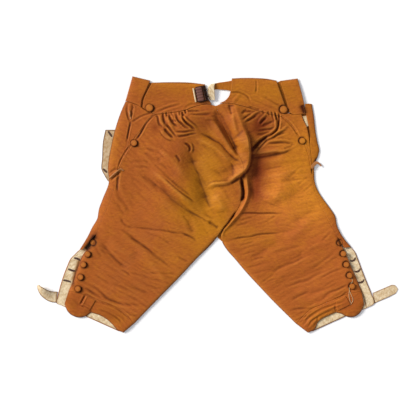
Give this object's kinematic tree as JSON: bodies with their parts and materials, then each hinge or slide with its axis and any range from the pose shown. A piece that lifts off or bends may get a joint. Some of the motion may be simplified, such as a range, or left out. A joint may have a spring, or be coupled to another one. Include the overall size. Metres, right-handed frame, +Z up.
{
  "type": "knee breeches",
  "caption": "Silk knee breeches laid flat with the back upwards: deep waistband with a buckled vent, gathered seat, buttoned knee slits and turned-out linen knee facings.",
  "frame": {"origin": "on the surface, under the middle of the laid garment", "axes": "+Y from the knees to the waist, +X to the garment's right leg as it lies back upwards, +Z up from the surface"},
  "size_m": [0.8654, 0.616, 0.0333],
  "materials": {
    "ribbed_silk": "cognac silk with a fine crosswise rib, soft sheen",
    "linen_lining": "cream plain-woven linen, matt",
    "blackened_iron": "forged and blackened, worn",
    "ribbed_ribbon": "purple-brown ribbed ribbon, matt"
  },
  "bodies": {
    "root": {"back_strap": "ribbed_silk", "band_end_left": "ribbed_silk", "band_end_right": "ribbed_silk", "buckle_frame": "blackened_iron", "buckle_keeper": "linen_lining", "buckle_ribbon": "ribbed_ribbon", "fall": "ribbed_silk", "fall_facing_left": "linen_lining", "hem_lining_left": "linen_lining", "hem_lining_right": "linen_lining", "knee_band_left": "ribbed_silk", "knee_band_right": "ribbed_silk", "knee_button_left_1": "ribbed_silk", "knee_button_left_2": "ribbed_silk", "knee_button_left_3": "ribbed_silk", "knee_button_left_4": "ribbed_silk", "knee_button_left_5": "ribbed_silk", "knee_button_right_1": "ribbed_silk", "knee_button_right_2": "ribbed_silk", "knee_button_right_3": "ribbed_silk", "knee_button_right_4": "ribbed_silk", "knee_button_right_5": "ribbed_silk", "knee_facing_left": "linen_lining", "knee_facing_right": "linen_lining", "knee_strap_left": "linen_lining", "knee_strap_right": "linen_lining", "knee_tab_left": "ribbed_silk", "knee_tab_right": "ribbed_silk", "leg_back_left": "ribbed_silk", "leg_back_right": "ribbed_silk", "leg_front_left": "ribbed_silk", "leg_front_right": "ribbed_silk", "pocket_button_left": "ribbed_silk", "pocket_button_right": "ribbed_silk", "pocket_flap_left": "ribbed_silk", "pocket_flap_right": "ribbed_silk", "pocket_lining_right": "linen_lining", "side_turn_left": "ribbed_silk", "side_turn_right": "ribbed_silk", "waist_button_left": "ribbed_silk", "waist_button_right": "ribbed_silk", "waistband_back_left": "ribbed_silk", "waistband_back_right": "ribbed_silk", "waistband_front_left": "ribbed_silk", "waistband_front_right": "ribbed_silk", "waistband_side_left": "ribbed_silk", "waistband_side_right": "ribbed_silk"}
  },
  "joints": []
}
